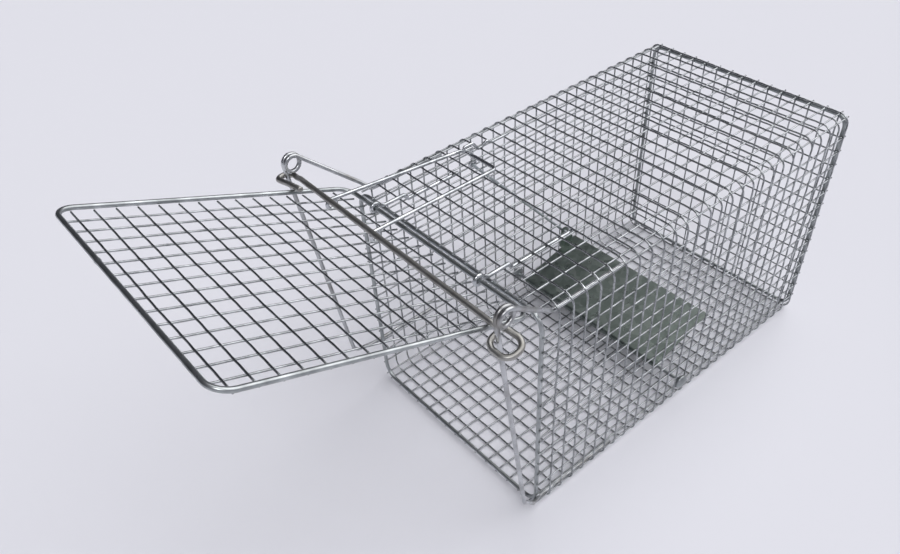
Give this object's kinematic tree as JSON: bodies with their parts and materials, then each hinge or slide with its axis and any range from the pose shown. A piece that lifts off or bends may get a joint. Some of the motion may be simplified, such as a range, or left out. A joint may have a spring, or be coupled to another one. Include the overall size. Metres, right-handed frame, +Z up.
{
  "type": "live catch trap",
  "caption": "Long welded-wire cage trap set open: top-hung mesh door held up by a wire bail, a locking bar on two guide rods, and a sheet treadle linked to the catch.",
  "frame": {"origin": "on the ground at the middle of the door end, in the plane of the front frame", "axes": "+X across the cage towards the right wall, +Y along the cage from the door end to the closed end, +Z up"},
  "size_m": [0.2383, 0.5336, 0.2789],
  "materials": {
    "mesh_wire": "bright galvanised welded wire",
    "frame_rod": "zinc-plated rod",
    "guide_rod": "zinc-plated rod",
    "hook_wire": "zinc-plated wire",
    "lock_rod": "darker plated rod",
    "trigger_wire": "zinc-plated wire",
    "link_wire": "dull plated wire",
    "galvanised_sheet": "dark galvanised sheet"
  },
  "bodies": {
    "cage": {"roof_mesh": "mesh_wire", "floor_mesh": "mesh_wire", "left_wall_mesh": "mesh_wire", "right_wall_mesh": "mesh_wire", "roof_left_bend": "mesh_wire", "roof_right_bend": "mesh_wire", "floor_left_bend": "mesh_wire", "floor_right_bend": "mesh_wire", "rear_mesh": "mesh_wire", "front_frame": "frame_rod", "rear_frame": "frame_rod", "left_guide": "guide_rod", "right_guide": "guide_rod", "left_hinge_hook": "hook_wire", "right_hinge_hook": "hook_wire", "treadle_rod": "frame_rod"},
    "door": {"door_frame": "frame_rod", "door_mesh": "mesh_wire"},
    "lock_bar": {"lock_bar": "lock_rod"},
    "bail": {"set_bail": "trigger_wire"},
    "catch": {"catch_hook": "trigger_wire"},
    "link": {"link_rod": "link_wire"},
    "treadle": {"treadle_plate": "galvanised_sheet"}
  },
  "joints": [
    {"name": "door_hinge", "type": "hinge", "parent": "cage", "child": "door", "pos_m": [0, -0.0095, 0.204], "axis": [1, 0, 0], "range_deg": [0, 111.5]},
    {"name": "lock_slide", "type": "slide", "parent": "cage", "child": "lock_bar", "axis": [0, 0.124, -0.9923], "range_m": [0, 0.052]},
    {"name": "bail_swing", "type": "hinge", "parent": "door", "child": "bail", "pos_m": [0, -0.03393, 0.21128], "axis": [1, 0, 0], "range_deg": [0, 50]},
    {"name": "treadle_pivot", "type": "hinge", "parent": "cage", "child": "treadle", "pos_m": [0, 0.166, 0.022], "axis": [1, 0, 0], "range_deg": [-5, 0]},
    {"name": "catch_slide", "type": "slide", "parent": "cage", "child": "catch", "axis": [0, 1, 0], "range_m": [0, 0.0076]},
    {"name": "link_swing", "type": "hinge", "parent": "catch", "child": "link", "pos_m": [-0.06985, 0.0884, 0.1915], "axis": [1, 0, 0], "range_deg": [-2.1, 0]}
  ],
  "couplings": [
    {"joint": "lock_slide", "follows": "door_hinge", "m_per_rad": 0.0265},
    {"joint": "catch_slide", "follows": "treadle_pivot", "m_per_rad": -0.0866},
    {"joint": "link_swing", "follows": "treadle_pivot", "ratio": 0.4}
  ]
}
